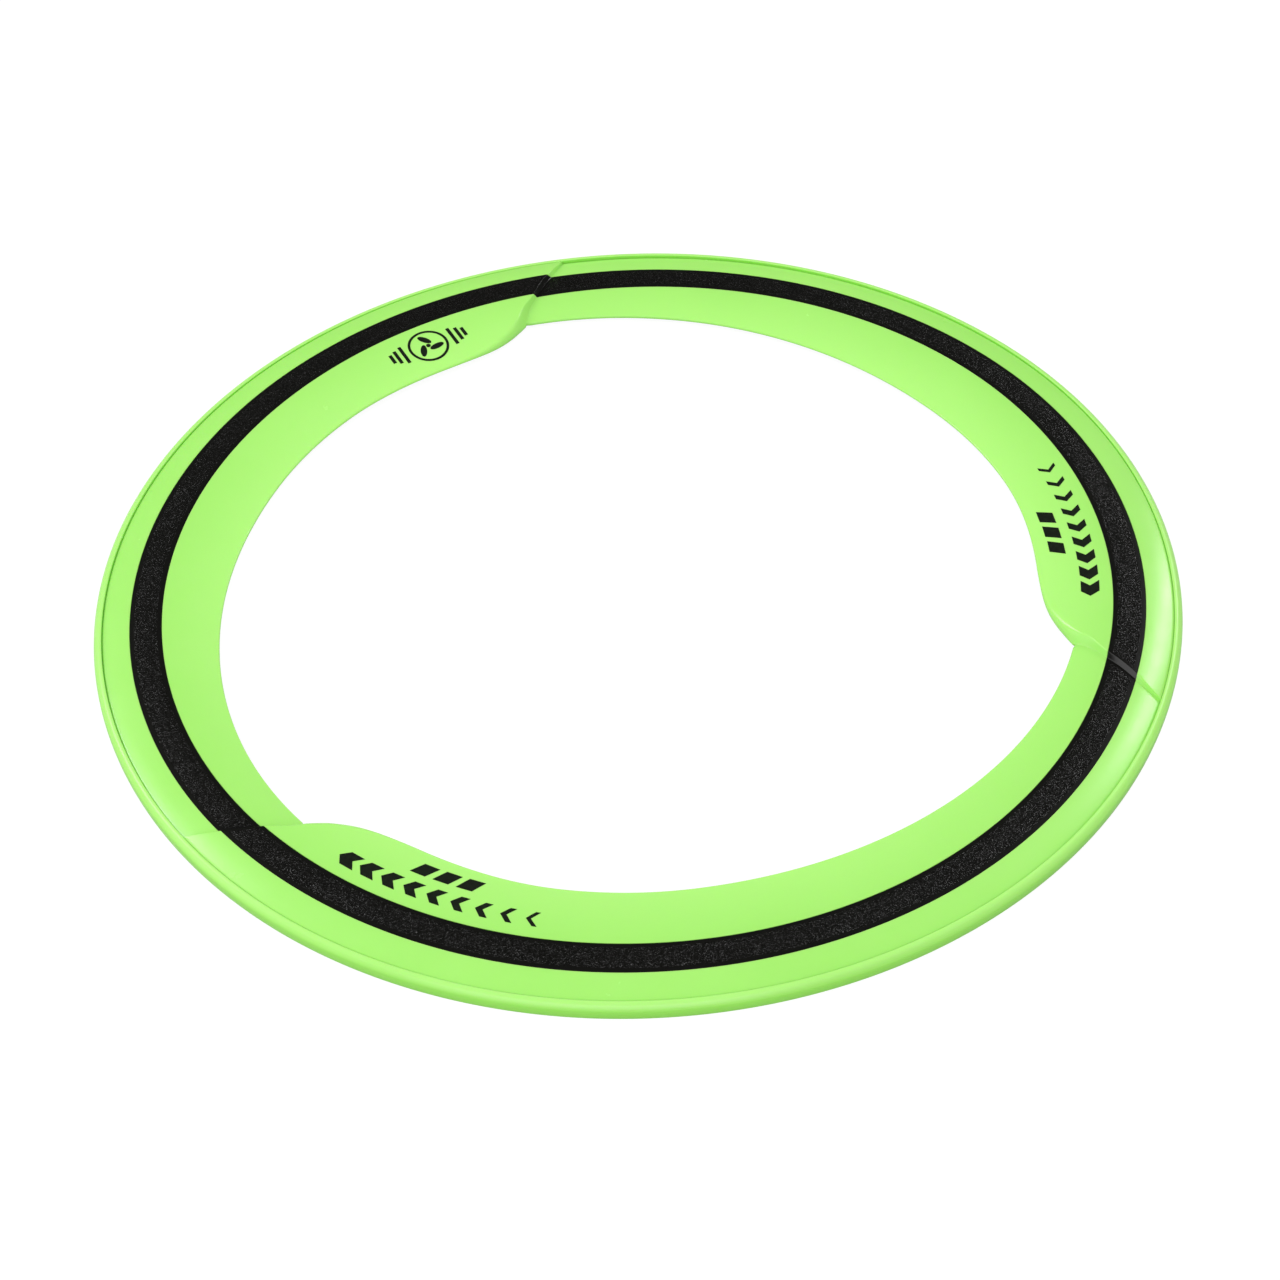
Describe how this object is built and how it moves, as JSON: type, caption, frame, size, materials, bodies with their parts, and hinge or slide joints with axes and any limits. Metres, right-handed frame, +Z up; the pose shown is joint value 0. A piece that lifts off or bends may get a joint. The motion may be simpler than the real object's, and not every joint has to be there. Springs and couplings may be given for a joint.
{
  "type": "flying ring",
  "caption": "Thin lime-green throwing ring with pitched wing-shaped blades, slanted steps between them, a soft outer rim and black grip bands.",
  "frame": {"origin": "centre of the ring, on the plane that its rim rests on", "axes": "+Z up through the ring's centre, out of the side with the grip bands; a leading edge meets the rim 97.3 degrees counter-clockwise from +X, and the others follow every 120 degrees"},
  "size_m": [0.3299, 0.33, 0.0069],
  "materials": {
    "blade_plastic": "lime green moulding with a fine matte grain",
    "rim_rubber": "soft lime green overmould, slightly yellower, satin",
    "grip_rubber": "black soft plastic with a raised sparkle grain and smooth borders",
    "print_ink": "black-green satin pad print"
  },
  "bodies": {
    "root": {"blade_ring": "blade_plastic", "rim_bumper": "rim_rubber", "grip_band_1": "grip_rubber", "grip_band_2": "grip_rubber", "grip_band_3": "grip_rubber", "print_mark_1": "print_ink", "print_mark_2": "print_ink", "print_mark_3": "print_ink"}
  },
  "joints": []
}
